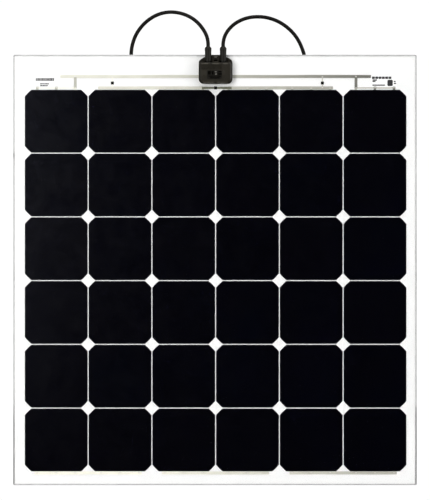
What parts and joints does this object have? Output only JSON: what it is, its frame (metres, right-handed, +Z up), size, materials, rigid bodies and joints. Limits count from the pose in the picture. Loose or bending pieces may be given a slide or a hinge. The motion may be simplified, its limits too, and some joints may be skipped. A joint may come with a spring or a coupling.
{
  "type": "flexible solar sheet",
  "caption": "Thin bendable solar laminate: corner-cut dark cells in a grid on a white back sheet under a clear film, with a snap-lid junction box and two connector leads at its top edge.",
  "frame": {"origin": "on the back face of the sheet, at mid width and half-way down the margin above the cells", "axes": "+X to the right as the face is looked at, +Y out of the back, +Z up towards the edge with the junction box"},
  "size_m": [0.807, 0.0413, 0.95],
  "materials": {
    "front_film": "clear satin polymer film",
    "back_sheet": "white satin polymer back sheet",
    "cell": "near-black blue anti-reflection coated silicon",
    "ribbon": "tinned copper, dull",
    "diode": "black moulded epoxy",
    "box_plastic": "black satin moulded plastic",
    "sleeve": "black soft moulded sleeve",
    "cable_jacket": "black satin cable jacket",
    "connector_plastic": "black moulded plastic",
    "contact_metal": "tin-plated contact"
  },
  "bodies": {
    "top_strip": {"back_sheet_top": "back_sheet", "front_film_top": "front_film", "cell_r1_c1": "cell", "cell_r1_c2": "cell", "cell_r1_c3": "cell", "cell_r1_c4": "cell", "cell_r1_c5": "cell", "cell_r1_c6": "cell", "cell_r2_c1": "cell", "cell_r2_c2": "cell", "cell_r2_c3": "cell", "cell_r2_c4": "cell", "cell_r2_c5": "cell", "cell_r2_c6": "cell", "upper_bus_left": "ribbon", "upper_bus_right": "ribbon", "lower_bus_left": "ribbon", "lower_bus_right": "ribbon", "bypass_diode_left": "diode", "bypass_diode_middle": "diode", "bypass_diode_right": "diode", "junction_box_base": "box_plastic", "cable_sleeve_left": "sleeve", "cable_sleeve_right": "sleeve", "cable_left": "cable_jacket", "cable_right": "cable_jacket", "connector_left": "connector_plastic", "connector_right": "connector_plastic"},
    "middle_strip": {"back_sheet_middle": "back_sheet", "front_film_middle": "front_film", "cell_r3_c1": "cell", "cell_r3_c2": "cell", "cell_r3_c3": "cell", "cell_r3_c4": "cell", "cell_r3_c5": "cell", "cell_r3_c6": "cell", "cell_r4_c1": "cell", "cell_r4_c2": "cell", "cell_r4_c3": "cell", "cell_r4_c4": "cell", "cell_r4_c5": "cell", "cell_r4_c6": "cell"},
    "bottom_strip": {"back_sheet_bottom": "back_sheet", "front_film_bottom": "front_film", "cell_r5_c1": "cell", "cell_r5_c2": "cell", "cell_r5_c3": "cell", "cell_r5_c4": "cell", "cell_r5_c5": "cell", "cell_r5_c6": "cell", "cell_r6_c1": "cell", "cell_r6_c2": "cell", "cell_r6_c3": "cell", "cell_r6_c4": "cell", "cell_r6_c5": "cell", "cell_r6_c6": "cell", "bottom_link_1": "ribbon", "bottom_link_2": "ribbon", "bottom_link_3": "ribbon"},
    "lid": {"junction_box_lid": "box_plastic"}
  },
  "joints": [
    {"name": "upper_bend", "type": "hinge", "parent": "top_strip", "child": "middle_strip", "pos_m": [0, -0.0011, -0.289], "axis": [1, 0, 0], "range_deg": [-15, 15], "stiffness_Nm_per_rad": 6},
    {"name": "lower_bend", "type": "hinge", "parent": "middle_strip", "child": "bottom_strip", "pos_m": [0, -0.0011, -0.544], "axis": [1, 0, 0], "range_deg": [-15, 15], "stiffness_Nm_per_rad": 6},
    {"name": "lid_lift", "type": "slide", "parent": "top_strip", "child": "lid", "axis": [0, -1, 0], "range_m": [0, 0.03]}
  ]
}
